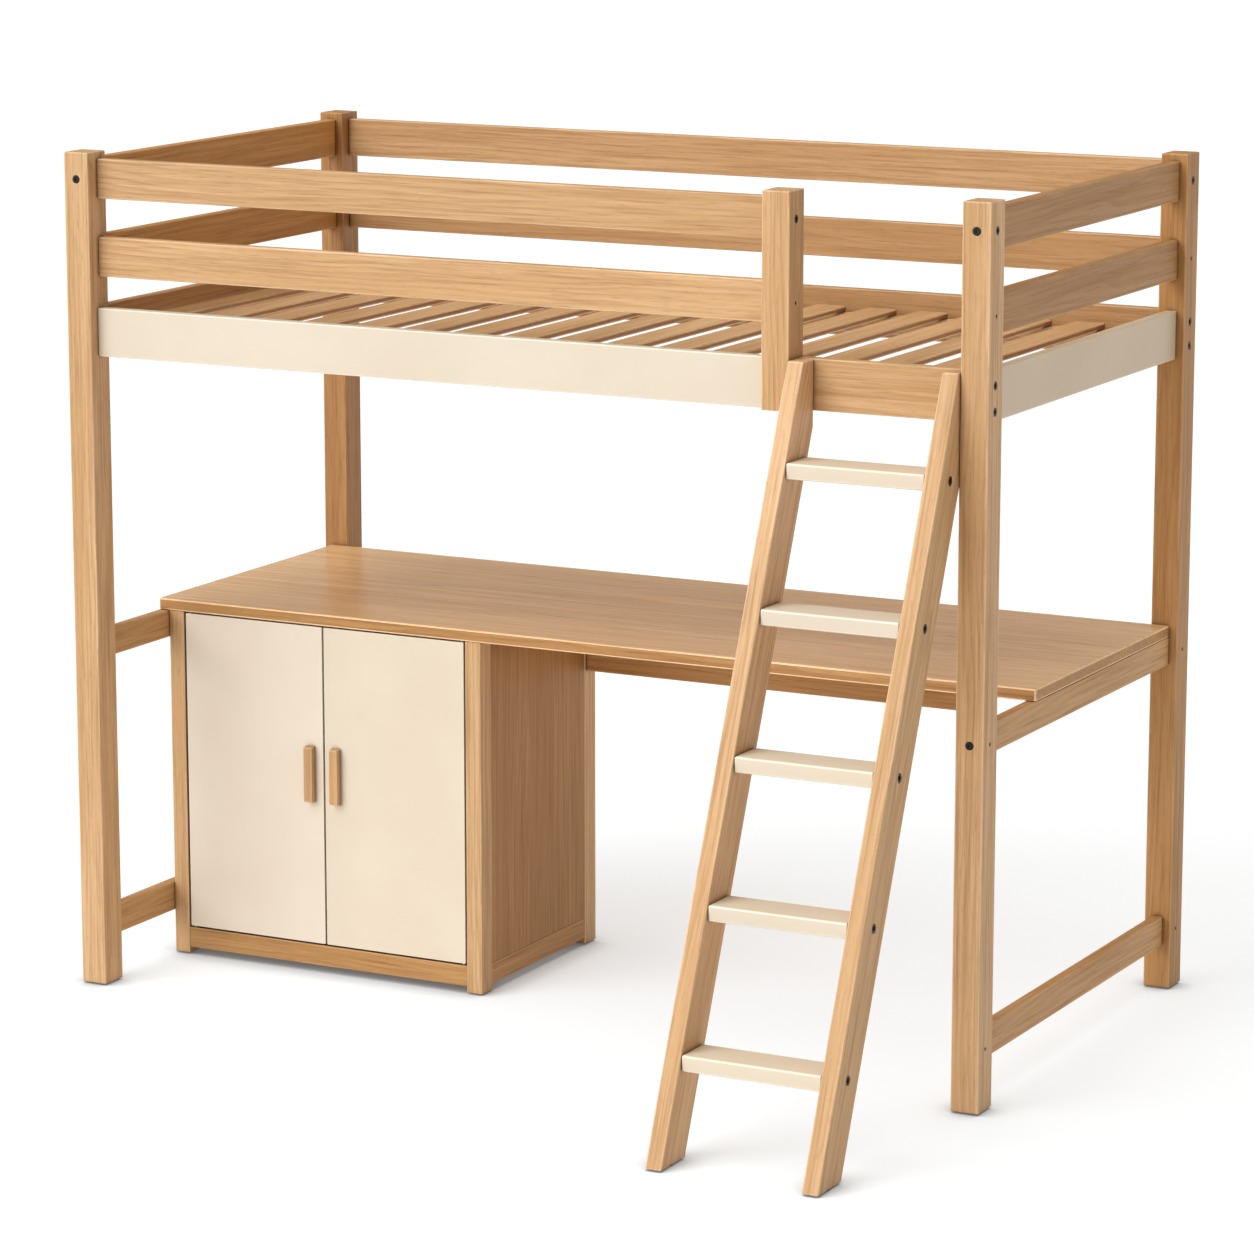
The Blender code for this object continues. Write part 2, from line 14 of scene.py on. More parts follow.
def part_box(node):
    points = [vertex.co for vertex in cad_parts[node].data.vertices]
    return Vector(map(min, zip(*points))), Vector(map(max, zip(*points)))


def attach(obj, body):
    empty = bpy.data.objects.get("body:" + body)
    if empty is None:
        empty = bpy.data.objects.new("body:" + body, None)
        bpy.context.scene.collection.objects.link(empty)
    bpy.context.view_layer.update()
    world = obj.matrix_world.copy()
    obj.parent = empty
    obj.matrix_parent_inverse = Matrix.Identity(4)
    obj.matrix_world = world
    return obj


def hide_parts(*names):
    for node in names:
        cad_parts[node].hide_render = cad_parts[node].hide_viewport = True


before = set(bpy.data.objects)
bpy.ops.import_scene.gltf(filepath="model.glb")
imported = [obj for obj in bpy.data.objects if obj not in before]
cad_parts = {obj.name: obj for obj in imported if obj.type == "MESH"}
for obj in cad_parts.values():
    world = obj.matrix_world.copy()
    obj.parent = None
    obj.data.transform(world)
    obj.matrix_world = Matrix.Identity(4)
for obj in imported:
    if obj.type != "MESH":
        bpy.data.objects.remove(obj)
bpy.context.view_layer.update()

FRAME = "frame"             # the body that all but the doors ride on
GAP = 0.0003                # clearance between touching pieces
ROUND = 0.0025              # usual edge radius of the timbers
ROUND_SEGMENTS = 3
CORNER = math.radians(25)   # edges sharper than this are rounded

# ---- sizes that the boxes don't give, in metres ------------------------------
SLAT_COUNT = 17
SLAT_WIDTH = 0.066
SLAT_ROUND = 0.003
SLAT_END_GAP = 0.0005       # at each end of a slat
STRAP_INSET = 0.035         # strap's middle from the slats' ends
STRAP_WIDTH = 0.025
STRAP_THICK = 0.0014
STRAP_SAG = 0.0025
STRAP_GAP = 0.0002          # under the slats
STRAP_STEP = 0.006
STRAP_END = 0.010           # from the outer slats' outer edges
APRON_SHOULDER = 0.620      # x where the apron's lower edge starts to rise
APRON_SLOPE_X = 0.075
RUNG_COUNT = 5
BOLT_LARGE = 0.0084         # radii of the recesses for bolt heads
BOLT_SMALL = 0.0040
BOLT_LADDER = 0.0095
RECESS_DEPTH = 0.007
RIM = 0.0010                # chamfer round the mouth of a recess
HEAD_DEPTH = 0.0010         # bolt heads lie this far under the surface
HEAD_HEIGHT = 0.0040
HEAD_PLAY = 0.0004          # between a bolt head and its recess
RECESS_SIDES = 32
BED_BOLT_SPREAD = 0.024     # the bed rails' two bolts, above and below middle
GLIDE_HEIGHT = 0.003
GLIDE_RADIUS = 0.019        # under the posts
GLIDE_RADIUS_CABINET = 0.012
GLIDE_RADIUS_LADDER = 0.013
GLIDE_SHIFT_LADDER = 0.004  # behind the middle of the foot
HANDLE_TAPER = 0.0030       # the handles' front faces are this much shorter at each end
POLE_SPREAD = 0.006         # a catch's two pole pieces, either side of its middle
POLE_SIZE = (0.002, 0.006, 0.008)
POLE_MIDDLE = 0.0029        # behind the catch's front
PLATE_SIZE = (0.024, 0.0012, 0.010)
PLATE_SUNK = 0.00045        # plate's middle inside the door's back

# ---- studio and camera -------------------------------------------------------
FLOOR_GLOW = 0.62           # the floor is a softly lit sheet, so it stays white
# the floor's glow fading near a foot is a painted contact shadow
FLOOR_SHADOW_REACH = 0.09        # its glow fades this close to a foot
FLOOR_HALF = 60
# level of the surroundings against the sine of the elevation
SKY = ((0.0, 1.04), (0.15, 1.02), (0.22, 0.04), (0.76, 0.08), (0.90, 2.0), (1.0, 2.2))
SKY_TINT = (1.0, 0.97, 0.90)
KEY_FROM = (-0.46, -0.76, 0.60)
KEY_STRENGTH = 2.60
KEY_ANGLE = math.radians(50)
KEY_COLOUR = (0.95, 0.98, 1.0)
CAMERA_TARGET = Vector((0.0138, 0.2411, 0.7517))
CAMERA_DISTANCE = 9.4875
CAMERA_AZIMUTH = math.radians(27.564)
CAMERA_ELEVATION = math.radians(11.359)
CAMERA_LENS = 135.83
CAMERA_SENSOR = 36.0

# ---- colours, linear ---------------------------------------------------------
OAK_LIGHT = (0.680, 0.424, 0.222)
OAK_MID = (0.530, 0.298, 0.128)
OAK_DARK = (0.300, 0.142, 0.050)
# The edge colours are for the rounded edges: on the cream a painted highlight, on the oak partly
# rubbed wear and partly a painted highlight.
OAK_EDGE_WEAR_AND_HIGHLIGHT = (0.780, 0.530, 0.310)
CREAM = (0.720, 0.612, 0.480)
CREAM_EDGE_HIGHLIGHT = (0.840, 0.750, 0.620)


# ---- shader helpers ----------------------------------------------------------
class Shader:
    """A short way to write a node tree."""

    def __init__(self, name):
        self.material = bpy.data.materials.new(name)
        self.material.use_nodes = True
        self.tree = self.material.node_tree
        self.surface = self.tree.nodes["Principled BSDF"]

    def node(self, kind, **settings):
        made = self.tree.nodes.new(kind)
        for key, value in settings.items():
            setattr(made, key, value)
        return made

    def link(self, source, target):
        self.tree.links.new(source, target)

    def feed(self, socket, value):
        if isinstance(value, bpy.types.NodeSocket):
            self.link(value, socket)
        else:
            socket.default_value = value

    def object_coords(self):
        return self.node("ShaderNodeTexCoord").outputs["Object"]

    def vector(self, operation, first, second):
        made = self.node("ShaderNodeVectorMath", operation=operation)
        self.feed(made.inputs[0], first)
        self.feed(made.inputs[1], second)
        return made.outputs[0]

    def maths(self, operation, first, second=0.0, clamp=False):
        made = self.node("ShaderNodeMath", operation=operation, use_clamp=clamp)
        self.feed(made.inputs[0], first)
        self.feed(made.inputs[1], second)
        return made.outputs[0]

    def noise(self, coords, scale=1.0, detail=2.0, roughness=0.5):
        made = self.node("ShaderNodeTexNoise")
        self.link(coords, made.inputs["Vector"])
        made.inputs["Scale"].default_value = scale
        made.inputs["Detail"].default_value = detail
        made.inputs["Roughness"].default_value = roughness
        return made

    def ramp(self, factor, low, high, start=0.0, end=1.0):
        made = self.node("ShaderNodeMapRange", interpolation_type="SMOOTHSTEP")
        self.feed(made.inputs["Value"], factor)
        made.inputs["From Min"].default_value = low
        made.inputs["From Max"].default_value = high
        made.inputs["To Min"].default_value = start
        made.inputs["To Max"].default_value = end
        return made.outputs["Result"]

    def mix(self, factor, first, second):
        made = self.node("ShaderNodeMix", data_type="RGBA")
        self.feed(made.inputs[0], factor)
        for socket, value in ((made.inputs[6], first), (made.inputs[7], second)):
            self.feed(socket, (*value, 1.0) if isinstance(value, tuple) else value)
        return made.outputs[2]

    def paint_crevice_shade(self, colour, shade, distance, strength):
        """Painted shade: darken a colour where another surface is close, in corners, joints and
        under things.
        """
        shade_reach = self.node("ShaderNodeAmbientOcclusion", samples=6)
        shade_reach.inputs["Distance"].default_value = distance
        shade_amount = self.ramp(shade_reach.outputs["AO"], 0.86, 0.30, 0.0, strength)
        return self.mix(shade_amount, colour, shade)

    def bump(self, height, strength, distance):
        made = self.node("ShaderNodeBump")
        self.link(height, made.inputs["Height"])
        made.inputs["Strength"].default_value = strength
        made.inputs["Distance"].default_value = distance
        self.link(made.outputs["Normal"], self.surface.inputs["Normal"])

    def set(self, **sockets):
        for key, value in sockets.items():
            self.feed(self.surface.inputs[key.replace("_", " ")], value)


def oak_material(name, seed, tone=(1, 1, 1), stave=0.0, edge=False, gloss=0.0,
                 shade_reach=0.014):
    """Plain-sawn oak under a matt lacquer, with its grain along the object's x axis.

    tone scales the colour's channels, and stave is the width of the glued boards across y.
    """
    draw = random.Random(seed)
    shift = Vector((draw.uniform(-3, 3), draw.uniform(-0.6, 0.6), draw.uniform(-0.6, 0.6)))
    pith = Vector((0, draw.choice((-1, 1)) * draw.uniform(0.01, 0.05), draw.uniform(0.02, 0.09)))
    s = Shader(name)
    coords = s.object_coords()
    board_tone = None
    joint = None
    if stave:
        parts = s.node("ShaderNodeSeparateXYZ")
        s.link(coords, parts.inputs[0])
        across = s.maths("ADD", s.maths("DIVIDE", parts.outputs[1], stave), 40.37)
        dice = s.node("ShaderNodeTexWhiteNoise", noise_dimensions="1D")
        s.link(s.maths("FLOOR", across), dice.inputs["W"])
        coords = s.vector("ADD", coords, s.vector("MULTIPLY", dice.outputs["Color"],
                                                  (2.5, 0.9, 0.16)))
        board_tone = dice.outputs["Value"]
        edge_distance = s.maths("ABSOLUTE", s.maths("SUBTRACT", s.maths("FRACT", across), 0.5))
        joint = s.ramp(edge_distance, 0.5 - 0.0006 / stave, 0.5 - 0.0002 / stave)
    coords = s.vector("ADD", coords, tuple(shift))

    # growth rings round an off-centre pith, bent by slow waves along the board
    slow = s.noise(s.vector("MULTIPLY", coords, (1.3, 9.0, 9.0)), detail=2.0)
    wander = s.vector("SUBTRACT", slow.outputs["Color"], (0.5, 0.5, 0.5))
    wander = s.vector("MULTIPLY", wander, (0.0, 0.070, 0.070))
    fine = s.noise(s.vector("MULTIPLY", coords, (7.0, 70.0, 70.0)), detail=2.0)
    ripple = s.vector("SUBTRACT", fine.outputs["Color"], (0.5, 0.5, 0.5))
    ripple = s.vector("MULTIPLY", ripple, (0.0, 0.0035, 0.0035))
    bent = s.vector("ADD", s.vector("ADD", coords, wander), ripple)
    bent = s.vector("ADD", bent, tuple(pith))
    rings = s.node("ShaderNodeTexWave", wave_type="RINGS", rings_direction="X",
                   wave_profile="SAW")
    s.link(bent, rings.inputs["Vector"])
    rings.inputs["Scale"].default_value = 30.0
    ring = s.ramp(rings.outputs["Fac"], 0.35, 1.0)
    # rings fade in and out along a board
    fade = s.noise(s.vector("MULTIPLY", coords, (2.2, 24.0, 24.0)), detail=2.0)
    ring = s.maths("MULTIPLY", ring, s.ramp(fade.outputs["Fac"], 0.34, 0.66, 0.25, 1.0))

    figure = s.noise(s.vector("MULTIPLY", coords, (0.9, 11.0, 11.0)), detail=3.0)
    streak = s.noise(s.vector("MULTIPLY", coords, (2.2, 85.0, 85.0)), detail=4.0)
    line = s.noise(s.vector("MULTIPLY", coords, (6.0, 230.0, 230.0)), detail=3.0)
    pore = s.noise(s.vector("MULTIPLY", coords, (30.0, 640.0, 640.0)), detail=1.0)
    pores = s.ramp(pore.outputs["Fac"], 0.60, 0.72)

    # with edge set the colours are lighter: the rounded edges' painted highlight, partly wear
    light, mid, dark = (
        tuple(c * t for c, t in zip(base, tone))
        for base in (OAK_EDGE_WEAR_AND_HIGHLIGHT if edge else OAK_LIGHT, OAK_LIGHT if edge else OAK_MID,
                     OAK_DARK))
    colour = s.mix(s.ramp(figure.outputs["Fac"], 0.30, 0.74, 0.0, 0.80), light, mid)
    colour = s.mix(s.ramp(streak.outputs["Fac"], 0.40, 0.70, 0.0, 0.80), colour, mid)
    colour = s.mix(s.ramp(line.outputs["Fac"], 0.46, 0.74, 0.0, 0.46), colour, dark)
    colour = s.mix(s.maths("MULTIPLY", ring, 0.30), colour, dark)
    colour = s.mix(s.maths("MULTIPLY", pores, 0.34), colour, dark)
    if stave:
        colour = s.mix(s.ramp(board_tone, 0.0, 1.0, 0.0, 0.30), colour, mid)
        colour = s.mix(s.maths("MULTIPLY", joint, 0.45), colour, dark)
    # painted shade where another surface is close
    colour = s.paint_crevice_shade(colour, tuple(c * 0.42 for c in dark), shade_reach, 0.72)
    rough = s.maths("ADD", s.maths("MULTIPLY", streak.outputs["Fac"], 0.18), 0.40 - gloss)
    height = s.maths("SUBTRACT", s.maths("MULTIPLY", line.outputs["Fac"], -0.5), pores)
    s.bump(height, 0.20, 0.0005)
    s.set(Base_Color=colour, Roughness=rough, Specular_IOR_Level=0.25 + gloss)
    return s.material


def cream_material(name, seed, tone=(1, 1, 1), edge=False):
    """Satin cream paint: faint roller texture, slight unevenness in tone and gloss."""
    draw = random.Random(seed)
    s = Shader(name)
    shift = tuple(draw.uniform(-4, 4) for _ in range(3))
    coords = s.vector("ADD", s.object_coords(), shift)
    cloud = s.noise(coords, scale=5.0, detail=3.0)
    roller = s.noise(coords, scale=620.0, detail=2.0, roughness=0.6)
    grain = s.noise(s.vector("MULTIPLY", coords, (6.0, 220.0, 220.0)), detail=2.0)
    # with edge set the cream is lighter: a painted highlight on the rounded edges
    base = tuple(c * t for c, t in zip(CREAM_EDGE_HIGHLIGHT if edge else CREAM, tone))
    shade = tuple(c * f for c, f in zip(base, (0.955, 0.94, 0.915)))
    colour = s.mix(s.ramp(cloud.outputs["Fac"], 0.30, 0.72, 0.0, 0.9), base, shade)
    colour = s.mix(s.ramp(grain.outputs["Fac"], 0.60, 0.80, 0.0, 0.25), colour, shade)
    # painted shade where another surface is close
    colour = s.paint_crevice_shade(colour, tuple(c * 0.35 for c in shade), 0.010, 0.60)
    rough = s.maths("ADD", s.maths("MULTIPLY", cloud.outputs["Fac"], 0.14), 0.33)
    height = s.maths("ADD", roller.outputs["Fac"],
                     s.maths("MULTIPLY", grain.outputs["Fac"], 0.7))
    s.bump(height, 0.10, 0.00025)
    s.set(Base_Color=colour, Roughness=rough, Specular_IOR_Level=0.45)
    return s.material


def metal_material(name, colour, metallic, low_rough, high_rough, stretch):
    """Metal with fine drawn or tumbled marks."""
    s = Shader(name)
    coords = s.object_coords()
    marks = s.noise(s.vector("MULTIPLY", coords, stretch), detail=3.0)
    worn = s.noise(coords, scale=260.0, detail=2.0)
    bright = tuple(min(1.0, c * 1.7 + 0.01) for c in colour)
    tint = s.mix(s.ramp(worn.outputs["Fac"], 0.52, 0.74, 0.0, 0.6), colour, bright)
    rough = s.ramp(marks.outputs["Fac"], 0.3, 0.7, low_rough, high_rough)
    s.bump(marks.outputs["Fac"], 0.12, 0.0002)
    s.set(Base_Color=tint, Roughness=rough, Metallic=metallic)
    return s.material


def plastic_material(name, colour, rough):
    """Moulded plastic with a fine spark-eroded texture."""
    s = Shader(name)
    coords = s.object_coords()
    texture = s.noise(coords, scale=1400.0, detail=2.0)
    cloud = s.noise(coords, scale=40.0, detail=2.0)
    shade = tuple(c * 0.82 for c in colour)
    tint = s.mix(s.ramp(cloud.outputs["Fac"], 0.35, 0.70, 0.0, 0.6), colour, shade)
    s.bump(texture.outputs["Fac"], 0.15, 0.0002)
    s.set(Base_Color=tint,
          Roughness=s.ramp(texture.outputs["Fac"], 0.3, 0.7, rough - 0.06, rough + 0.08))
    return s.material


def webbing_material(name):
    """Woven natural webbing: weft ribs across the strap and warp ends along it."""
    s = Shader(name)
    coords = s.object_coords()
    ribs = s.node("ShaderNodeTexWave", wave_type="BANDS", bands_direction="X",
                  wave_profile="SIN")
    s.link(coords, ribs.inputs["Vector"])
    ribs.inputs["Scale"].default_value = 190.0
    ribs.inputs["Distortion"].default_value = 0.6
    ends = s.node("ShaderNodeTexWave", wave_type="BANDS", bands_direction="Y",
                  wave_profile="SIN")
    s.link(coords, ends.inputs["Vector"])
    ends.inputs["Scale"].default_value = 260.0
    weave = s.maths("MULTIPLY", ribs.outputs["Fac"], ends.outputs["Fac"])
    fuzz = s.noise(coords, scale=900.0, detail=2.0)
    tint = s.mix(s.ramp(weave, 0.0, 0.8), (0.26, 0.165, 0.085), (0.46, 0.315, 0.180))
    tint = s.mix(s.ramp(fuzz.outputs["Fac"], 0.5, 0.8, 0.0, 0.4), tint, (0.36, 0.240, 0.135))
    s.bump(weave, 0.6, 0.0005)
    s.set(Base_Color=tint, Roughness=0.9, Sheen_Weight=0.3)
    return s.material


def floor_material():
    """A pale sheet lit from within, whose glow fades where something stands on it: a painted
    contact shadow.
    """
    s = Shader("studio_floor")
    coords = s.object_coords()
    cloud = s.noise(coords, scale=0.8, detail=2.0)
    tint = s.mix(s.ramp(cloud.outputs["Fac"], 0.3, 0.7),
                 (0.39, 0.41, 0.43), (0.40, 0.42, 0.44))
    shade_reach = s.node("ShaderNodeAmbientOcclusion", samples=8)
    shade_reach.inputs["Distance"].default_value = FLOOR_SHADOW_REACH
    glow = s.ramp(shade_reach.outputs["AO"], 0.25, 0.98, 0.10, FLOOR_GLOW)
    s.set(Base_Color=tint, Roughness=0.90, Specular_IOR_Level=0.0,
          Emission_Color=(1.0, 1.0, 1.0, 1.0), Emission_Strength=glow)
    return s.material


# ---- materials ---------------------------------------------------------------
OAK_TONES = ((1.00, 1.00, 1.00), (0.93, 0.92, 0.90), (1.04, 1.05, 1.06),
             (0.97, 0.97, 0.97),
             (0.91, 0.89, 0.86), (1.02, 1.03, 1.04), (0.95, 0.94, 0.92), (1.05, 1.06, 1.09),
             (0.99, 0.98, 0.97))
OAK_COUNT = len(OAK_TONES)
OAKS = [oak_material("oak_" + str(i), 11 + i, tone) for i, tone in enumerate(OAK_TONES)]
OAK_EDGES = [oak_material("oak_edge_" + str(i), 11 + i, tone, edge=True)
             for i, tone in enumerate(OAK_TONES)]
# Darker tones for pieces and faces that stand in shade: painted shade.
SHADE_TONES = ((0.78, 0.67, 0.49), (0.90, 0.82, 0.68), (0.68, 0.57, 0.42),
              (0.95, 0.79, 0.50))
SHADED_OAKS = [oak_material("oak_deep_" + str(i), 81 + i, tone)
             for i, tone in enumerate(SHADE_TONES)]
SHADED_EDGES = [oak_material("oak_deep_edge_" + str(i), 81 + i, tone, edge=True)
              for i, tone in enumerate(SHADE_TONES)]
# The desktop's staves are lightened: painted light on its top under the bed.
DESK_LIGHTENED_TONE = (1.36, 1.42, 1.50)
# The panel tone is darker and warmer: partly the panels' own wood, partly painted shade on the
# cabinet's sides.
PANEL_WOOD_AND_SHADE_TONE = (0.65, 0.53, 0.33)
OAK_STAVES = oak_material("oak_staves", 31, DESK_LIGHTENED_TONE, stave=0.098, gloss=0.18)
OAK_STAVE_EDGE = oak_material("oak_stave_edge", 31, DESK_LIGHTENED_TONE, stave=0.098, edge=True)
OAK_GLUED = oak_material("oak_glued", 36, (0.98, 0.97, 0.95), stave=0.052)
# the long reach paints shade on the panels towards the desktop above
OAK_PANEL = oak_material("oak_panel", 41, PANEL_WOOD_AND_SHADE_TONE, stave=0.105, shade_reach=0.10)
# The third cream tone is darker, painted shade for the right bed rail; the fourth is lighter,
# painted light for the left door.
CREAM_TONES = ((0.97, 0.97, 0.98), (0.99, 0.985, 0.975), (0.84, 0.76, 0.65),
               (1.05, 1.05, 1.08))
CREAMS = [cream_material("cream_" + str(i), 61 + i, tone)
          for i, tone in enumerate(CREAM_TONES)]
CREAM_EDGES = [cream_material("cream_edge_" + str(i), 61 + i, tone, edge=True)
               for i, tone in enumerate(CREAM_TONES)]
BLACK = metal_material("bolt_black", (0.012, 0.011, 0.010), 0.4, 0.30, 0.55,
                       (900, 900, 900))
STEEL = metal_material("bright_steel", (0.50, 0.50, 0.51), 1.0, 0.22, 0.42,
                       (300, 300, 40))
WHITE_PLASTIC = plastic_material("catch_white", (0.74, 0.73, 0.69), 0.45)
BROWN_PLASTIC = plastic_material("glide_brown", (0.045, 0.030, 0.020), 0.50)
WEBBING = webbing_material("webbing")


# ---- mesh helpers ------------------------------------------------------------
TURNS = {
    "x": Euler((0, 0, 0)),
    "y": Euler((0, 0, math.radians(90))),
    "z": Euler((0, math.radians(-90), 0)),
}


def new_object(name, shape, *materials):
    """Turn a bmesh into a linked object with these materials."""
    mesh = bpy.data.meshes.new(name)
    shape.to_mesh(mesh)
    shape.free()
    for material in materials:
        mesh.materials.append(material)
    thing = bpy.data.objects.new(name, mesh)
    bpy.context.scene.collection.objects.link(thing)
    return thing


def box_shape(size):
    shape = bmesh.new()
    bmesh.ops.create_cube(shape, size=1.0)
    bmesh.ops.scale(shape, vec=size, verts=shape.verts)
    return shape


def prism(outline, span, axis, turn=None):
    """A closed prism: an outline in the plane across an axis, swept over a span."""
    shape = bmesh.new()
    rings = []
    for along in span:
        ring = []
        for first, second in outline:
            if axis == "y":
                point = Vector((first, along, second))
            else:
                point = Vector((along, first, second))
            ring.append(shape.verts.new(turn @ point if turn else point))
        rings.append(ring)
    count = len(outline)
    for first in range(count):
        after = (first + 1) % count
        shape.faces.new((rings[0][first], rings[0][after], rings[1][after], rings[1][first]))
    shape.faces.new(rings[0])
    shape.faces.new(rings[1])
    bmesh.ops.recalc_face_normals(shape, faces=shape.faces)
    return shape


def round_edges(thing, radius, segments):
    bevel = thing.modifiers.new("round", "BEVEL")
    bevel.width = radius
    bevel.segments = segments
    bevel.limit_method = "ANGLE"
    return bevel


def keep_flat(thing):
    """Shade the flat faces flat and only the rounded edges smooth."""
    flat = thing.modifiers.new("flat", "WEIGHTED_NORMAL")
    flat.keep_sharp = True


def smooth_below(thing, degrees):
    """Smooth shading, with a sharp edge where faces meet at more than this angle."""
    thing.data.shade_smooth()
    thing.data.set_sharp_from_angle(angle=math.radians(degrees))


def soften(thing, radius=ROUND, segments=ROUND_SEGMENTS, edge_slot=-1):
    """Round the edges, and keep the flat faces looking flat."""
    for face in thing.data.polygons:
        face.use_smooth = True
    bevel = round_edges(thing, radius, segments)
    bevel.angle_limit = CORNER
    # the rounded edges take the last material, which on most pieces is lighter: a painted
    # highlight
    bevel.material = edge_slot
    keep_flat(thing)


def freeze(thing):
    """Replace an object's mesh by the one its modifiers make."""
    bpy.context.view_layer.update()
    graph = bpy.context.evaluated_depsgraph_get()
    mesh = bpy.data.meshes.new_from_object(thing.evaluated_get(graph))
    thing.modifiers.clear()
    thing.data = mesh


def carve(thing, cutter):
    """Cut one object out of another for good."""
    cut = thing.modifiers.new("cut", "BOOLEAN")
    cut.operation = "DIFFERENCE"
    cut.solver = "EXACT"
    cut.object = cutter
    freeze(thing)
    bpy.data.objects.remove(cutter, do_unlink=True)


def board(name, node, grain, materials, radius=ROUND, body=FRAME,
          lift=0.0):
    """A rounded timber in its CAD node's box, with its own x axis along its grain."""
    low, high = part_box(node)
    low.z += lift
    size = high - low
    if grain == "y":
        size = Vector((size.y, size.x, size.z))
    elif grain == "z":
        size = Vector((size.z, size.y, size.x))
    thing = new_object(name, box_shape(size), *materials)
    thing.rotation_euler = TURNS[grain]
    thing.location = (low + high) / 2
    soften(thing, radius, edge_slot=len(materials) - 1)
    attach(thing, body)
    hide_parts(node)
    return thing


def oak_pair(index):
    """The face and edge materials of one of the usual boards."""
    return OAKS[index % OAK_COUNT], OAK_EDGES[index % OAK_COUNT]


def shaded_pair(index):
    """Boards in darker tones: painted shade for pieces that stand in shade."""
    return SHADED_OAKS[index], SHADED_EDGES[index]


def cylinder(shape, radius, sides, low, high):
    """Add a closed upright cylinder on the z axis."""
    place = Matrix.Translation((0, 0, (low + high) / 2))
    bmesh.ops.create_cone(shape, cap_ends=True, segments=sides, radius1=radius,
                          radius2=radius, depth=high - low, matrix=place)


# ---- bolts -------------------------------------------------------------------
def make_bolt_head():
    """A socket head of unit radius, its top at z 0, with a hexagon socket in it."""
    shape = bmesh.new()
    cylinder(shape, 1.0, 28, -1.0, 0.0)
    head = new_object("bolt_head", shape, BLACK)
    round_edges(head, 0.16, 3)
    socket = bmesh.new()
    cylinder(socket, 0.55, 6, -0.6, 0.2)
    tool = new_object("bolt_socket", socket)
    carve(head, tool)
    smooth_below(head, 30)
    mesh = head.data
    bpy.data.objects.remove(head, do_unlink=True)
    return mesh


BOLT_HEAD = make_bolt_head()


def recess_tool(shape, radius, point, inward):
    """Add a turned cutter: a flat-bottomed hole with a chamfer round its mouth."""
    lead = 0.001
    profile = (
        (radius + RIM + lead, -lead),
        (radius, RIM),
        (radius, RECESS_DEPTH),
    )
    turn = inward.to_track_quat("Z", "Y").to_matrix()
    rings = []
    for ring_radius, depth in profile:
        ring = []
        for side in range(RECESS_SIDES):
            angle = math.tau * side / RECESS_SIDES
            spot = Vector((ring_radius * math.cos(angle), ring_radius * math.sin(angle),
                           depth))
            ring.append(shape.verts.new(point + turn @ spot))
        rings.append(ring)
    made = [shape.faces.new(rings[0]), shape.faces.new(rings[-1])]
    for first, second in zip(rings, rings[1:]):
        for side in range(RECESS_SIDES):
            after = (side + 1) % RECESS_SIDES
            face = shape.faces.new((first[side], first[after], second[after],
                                    second[side]))
            # the chamfer round each recess takes the host's lighter edge material: a painted
            # highlight round the bolt
            face.material_index = 1 if first is rings[0] else 0
            made.append(face)
    bmesh.ops.recalc_face_normals(shape, faces=made)


def add_bolts(host, spots):
    """Recess bolt heads into an object: each spot is radius, point, outward direction."""
    recess = bmesh.new()
    heads = bmesh.new()
    for number, (radius, point, outward) in enumerate(spots):
        point = Vector(point)
        outward = Vector(outward)
        inward = -outward
        recess_tool(recess, radius, point, inward)
        one = BOLT_HEAD.copy()
        turn = outward.to_track_quat("Z", "Y").to_matrix().to_4x4()
        spin = Matrix.Rotation(0.7 * number, 4, "Z")
        wide = radius - HEAD_PLAY
        stretch = Matrix.Diagonal((wide, wide, HEAD_HEIGHT, 1))
        place = Matrix.Translation(point + inward * HEAD_DEPTH)
        one.transform(place @ turn @ spin @ stretch)
        heads.from_mesh(one)
        bpy.data.meshes.remove(one)
    host.modifiers.remove(host.modifiers["flat"])
    carve(host, new_object("recess", recess, *host.data.materials))
    smooth_below(host, 35)
    keep_flat(host)

    bolts = new_object(host.name + "_bolts", heads, BLACK)
    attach(bolts, FRAME)


def middle_z(node):
    low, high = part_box(node)
    return (low.z + high.z) / 2


BED_MIDDLE = middle_z("bed_rail_front")
BOLT_ROWS = {
    "guard_upper": (middle_z("guard_front_upper"), BOLT_LARGE),
    "guard_lower": (middle_z("guard_front_lower"), BOLT_SMALL),
    "bed_high": (BED_MIDDLE + BED_BOLT_SPREAD, BOLT_LARGE),
    "bed_low": (BED_MIDDLE - BED_BOLT_SPREAD, BOLT_LARGE),
    "desk": (middle_z("desk_rail_right"), BOLT_SMALL),
    "stretcher": (middle_z("stretcher_right"), BOLT_SMALL),
}


# ---- glides under the feet ---------------------------------------------------
def add_glide(name, x, y, radius):
    """A round plastic glide nailed under a foot."""
    shape = bmesh.new()
    cylinder(shape, radius, 40, 0.0, GLIDE_HEIGHT)
    glide = new_object(name, shape, BROWN_PLASTIC)
    glide.location = (x, y, 0)
    smooth_below(glide, 50)
    round_edges(glide, 0.0008, 2)
    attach(glide, FRAME)


